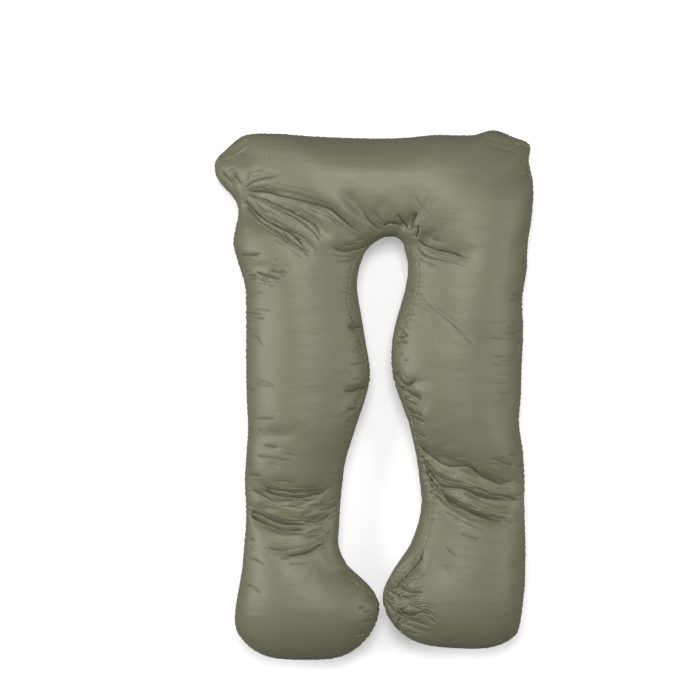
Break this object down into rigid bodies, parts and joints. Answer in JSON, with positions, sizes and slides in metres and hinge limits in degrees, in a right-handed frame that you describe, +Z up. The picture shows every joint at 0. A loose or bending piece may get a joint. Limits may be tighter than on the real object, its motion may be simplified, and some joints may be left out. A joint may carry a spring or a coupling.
{
  "type": "body pillow",
  "caption": "U-shaped body pillow lying on its back: a long filled cushion of two legs and a closed bar, with uneven drawn-in folds.",
  "frame": {"origin": "on the floor, under the middle of the pillow's box", "axes": "+Y runs from the two feet of the U to its closed bar, +X to the right of the face as seen from above with the bar away from the viewer, +Z up out of the face"},
  "size_m": [0.8732, 1.4468, 0.1895],
  "materials": {
    "cover_cloth": "smooth olive cover cloth with a soft satin sheen and fine puckers along its seam"
  },
  "bodies": {
    "root": {"pillow": "cover_cloth"}
  },
  "joints": []
}
